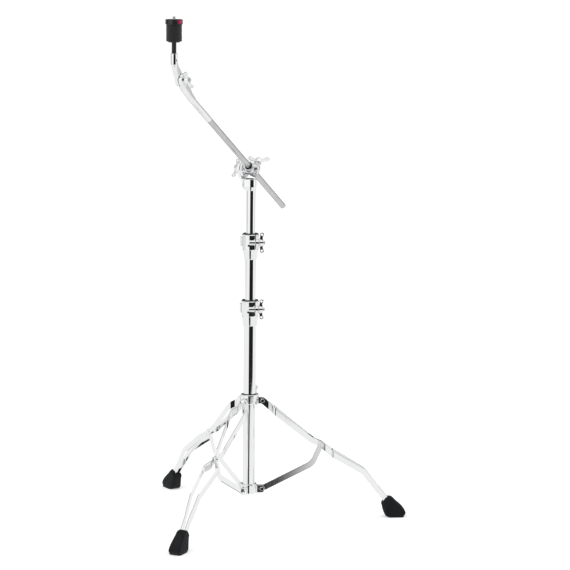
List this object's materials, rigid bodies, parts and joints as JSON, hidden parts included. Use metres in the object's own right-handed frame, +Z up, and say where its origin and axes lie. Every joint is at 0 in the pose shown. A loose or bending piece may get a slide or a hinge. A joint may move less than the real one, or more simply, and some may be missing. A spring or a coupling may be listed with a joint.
{
  "type": "cymbal boom stand",
  "caption": "Double-braced tripod stand with telescoping tubes and a tilting, sliding boom arm that carries a cymbal on felts under a quick-release nut.",
  "frame": {"origin": "on the axis of the vertical tubes, at floor level", "axes": "+Z up along the tubes; +X along leg 1; the boom rises in the vertical plane at -120 degrees, over leg 3"},
  "size_m": [0.5646, 0.6462, 1.157],
  "materials": {
    "chrome": "polished chrome plate",
    "chrome_casting": "chrome-plated die casting, slightly softer than the tubes",
    "knurled_steel": "fine-knurled chrome-plated steel",
    "zinc_steel": "zinc-plated fasteners",
    "dark_screw": "black-oxide screws",
    "black_rubber": "moulded, matt",
    "black_nylon": "moulded nylon",
    "black_felt": "pressed wool felt",
    "black_plastic": "moulded, semi-gloss",
    "red_plastic": "moulded, semi-gloss"
  },
  "bodies": {
    "root": {"base_tube": "chrome", "brace_hub": "chrome_casting", "brace_hub_rivets": "chrome", "lower_clamp_collar": "chrome_casting", "lower_clamp_bushing": "black_nylon", "lower_clamp_bolt": "zinc_steel", "lower_clamp_washer": "zinc_steel", "lower_clamp_screw": "dark_screw"},
    "lower_clamp_wing_nut": {"lower_clamp_wing_nut": "chrome_casting"},
    "leg_hub": {"leg_hub": "chrome_casting", "leg_hub_sleeve": "black_nylon", "leg_hub_rivets": "chrome"},
    "leg_hub_wing_bolt": {"leg_hub_wing_bolt": "chrome_casting"},
    "lower_glide": {"lower_glide": "black_nylon"},
    "middle_tube": {"middle_tube": "chrome", "upper_clamp_collar": "chrome_casting", "upper_clamp_bushing": "black_nylon", "upper_clamp_bolt": "zinc_steel", "upper_clamp_washer": "zinc_steel", "upper_clamp_screw": "dark_screw"},
    "upper_clamp_wing_nut": {"upper_clamp_wing_nut": "chrome_casting"},
    "upper_glide": {"upper_glide": "black_nylon"},
    "upper_tube": {"upper_tube": "chrome", "boom_head_yoke": "chrome_casting"},
    "boom_holder": {"boom_holder": "chrome_casting", "tilt_bolt": "zinc_steel", "tilt_washer": "zinc_steel", "boom_clamp_bolt": "zinc_steel", "boom_clamp_washer": "zinc_steel"},
    "tilt_wing_nut": {"tilt_wing_nut": "chrome_casting"},
    "boom_wing_nut": {"boom_wing_nut": "chrome_casting"},
    "boom_bushing": {"boom_bushing": "black_nylon"},
    "boom_arm": {"boom_arm": "knurled_steel", "boom_arm_cap": "chrome", "tilter_base": "chrome_casting", "tilter_bolt": "zinc_steel", "tilter_friction_disc": "black_nylon"},
    "tilter_wing_nut": {"tilter_wing_nut": "chrome_casting"},
    "tilter_head": {"tilter_head": "chrome_casting", "tilter_set_screw": "dark_screw", "cymbal_rod": "zinc_steel", "cymbal_sleeve": "black_nylon", "felt_seat": "black_nylon", "lower_felt": "black_felt"},
    "upper_felt": {"upper_felt": "black_felt"},
    "quick_release_nut": {"quick_release_nut": "black_plastic"},
    "quick_release_button": {"quick_release_button": "red_plastic", "quick_release_spring": "zinc_steel"},
    "brace_1": {"brace_1": "chrome"},
    "leg_1": {"leg_1_rails": "chrome", "leg_1_joint_rivet": "chrome", "leg_1_foot": "black_rubber"},
    "brace_2": {"brace_2": "chrome"},
    "leg_2": {"leg_2_rails": "chrome", "leg_2_joint_rivet": "chrome", "leg_2_foot": "black_rubber"},
    "brace_3": {"brace_3": "chrome"},
    "leg_3": {"leg_3_rails": "chrome", "leg_3_joint_rivet": "chrome", "leg_3_foot": "black_rubber"}
  },
  "joints": [
    {"name": "brace_1_fold", "type": "hinge", "parent": "root", "child": "brace_1", "pos_m": [0.03, 0, 0.069], "axis": [0, -1, 0], "range_deg": [-10, 38]},
    {"name": "leg_1_fold", "type": "hinge", "parent": "brace_1", "child": "leg_1", "pos_m": [0.166, 0, 0.1725], "axis": [0, -1, 0], "range_deg": [-76, 20]},
    {"name": "leg_hub_rise", "type": "hinge", "parent": "leg_1", "child": "leg_hub", "pos_m": [0.03, 0, 0.276], "axis": [0, -1, 0], "range_deg": [-10, 38]},
    {"name": "brace_2_fold", "type": "hinge", "parent": "root", "child": "brace_2", "pos_m": [-0.015, 0.02598, 0.069], "axis": [0.866, 0.5, 0], "range_deg": [-10, 38]},
    {"name": "leg_2_fold", "type": "hinge", "parent": "brace_2", "child": "leg_2", "pos_m": [-0.083, 0.14376, 0.1725], "axis": [0.866, 0.5, 0], "range_deg": [-76, 20]},
    {"name": "brace_3_fold", "type": "hinge", "parent": "root", "child": "brace_3", "pos_m": [-0.015, -0.02598, 0.069], "axis": [-0.866, 0.5, 0], "range_deg": [-10, 38]},
    {"name": "leg_3_fold", "type": "hinge", "parent": "brace_3", "child": "leg_3", "pos_m": [-0.083, -0.14376, 0.1725], "axis": [-0.866, 0.5, 0], "range_deg": [-76, 20]},
    {"name": "leg_hub_wing_bolt_turn", "type": "hinge", "parent": "leg_hub", "child": "leg_hub_wing_bolt", "pos_m": [0.01365, 0.02364, 0.281], "axis": [0.5, 0.866, 0], "continuous": true},
    {"name": "lower_wing_nut_turn", "type": "hinge", "parent": "root", "child": "lower_clamp_wing_nut", "pos_m": [0.01825, -0.01955, 0.4895], "axis": [1, 0, 0], "continuous": true},
    {"name": "lower_height", "type": "slide", "parent": "root", "child": "lower_glide", "axis": [0, 0, 1], "range_m": [-0.09, 0.11]},
    {"name": "lower_swivel", "type": "hinge", "parent": "lower_glide", "child": "middle_tube", "pos_m": [0, 0, 0.3], "axis": [0, 0, 1], "continuous": true},
    {"name": "upper_wing_nut_turn", "type": "hinge", "parent": "middle_tube", "child": "upper_clamp_wing_nut", "pos_m": [0.01825, -0.01755, 0.6415], "axis": [1, 0, 0], "continuous": true},
    {"name": "upper_height", "type": "slide", "parent": "middle_tube", "child": "upper_glide", "axis": [0, 0, 1], "range_m": [-0.09, 0.11]},
    {"name": "upper_swivel", "type": "hinge", "parent": "upper_glide", "child": "upper_tube", "pos_m": [0, 0, 0.45], "axis": [0, 0, 1], "continuous": true},
    {"name": "boom_tilt", "type": "hinge", "parent": "upper_tube", "child": "boom_holder", "pos_m": [0, 0, 0.807], "axis": [-0.866, 0.5, 0], "range_deg": [-70, 8]},
    {"name": "tilt_wing_nut_turn", "type": "hinge", "parent": "boom_holder", "child": "tilt_wing_nut", "pos_m": [-0.02637, 0.01523, 0.807], "axis": [-0.866, 0.5, 0], "continuous": true},
    {"name": "boom_wing_nut_turn", "type": "hinge", "parent": "boom_holder", "child": "boom_wing_nut", "pos_m": [0.01508, 0.00072, 0.82047], "axis": [0.259, 0.4486, 0.8554], "continuous": true},
    {"name": "boom_spin", "type": "hinge", "parent": "boom_holder", "child": "boom_bushing", "pos_m": [0, 0, 0.807], "axis": [-0.4277, -0.7408, 0.518], "continuous": true},
    {"name": "boom_slide", "type": "slide", "parent": "boom_bushing", "child": "boom_arm", "axis": [-0.4277, -0.7408, 0.518], "range_m": [-0.2, 0.15]},
    {"name": "tilter_tilt", "type": "hinge", "parent": "boom_arm", "child": "tilter_head", "pos_m": [-0.1665, -0.28839, 1.024], "axis": [-0.866, 0.5, 0], "range_deg": [-40, 40]},
    {"name": "tilter_wing_nut_turn", "type": "hinge", "parent": "boom_arm", "child": "tilter_wing_nut", "pos_m": [-0.15866, -0.29291, 1.024], "axis": [0.866, -0.5, 0], "continuous": true},
    {"name": "nut_lift", "type": "slide", "parent": "tilter_head", "child": "quick_release_nut", "axis": [0, 0, 1], "range_m": [0, 0.022]},
    {"name": "felt_lift", "type": "slide", "parent": "tilter_head", "child": "upper_felt", "axis": [0, 0, 1], "range_m": [0, 0.011]},
    {"name": "button_press", "type": "slide", "parent": "quick_release_nut", "child": "quick_release_button", "axis": [-0.7071, 0.7071, 0], "range_m": [0, 0.0025], "stiffness_N_per_m": 400, "springref_m": -0.002}
  ],
  "couplings": [
    {"joint": "brace_2_fold", "follows": "brace_1_fold", "ratio": 1},
    {"joint": "brace_3_fold", "follows": "brace_1_fold", "ratio": 1},
    {"joint": "leg_1_fold", "follows": "brace_1_fold", "ratio": -2},
    {"joint": "leg_2_fold", "follows": "brace_1_fold", "ratio": -2},
    {"joint": "leg_3_fold", "follows": "brace_1_fold", "ratio": -2},
    {"joint": "leg_hub_rise", "follows": "brace_1_fold", "ratio": 1},
    {"joint": "felt_lift", "follows": "nut_lift", "ratio": 0.5}
  ]
}
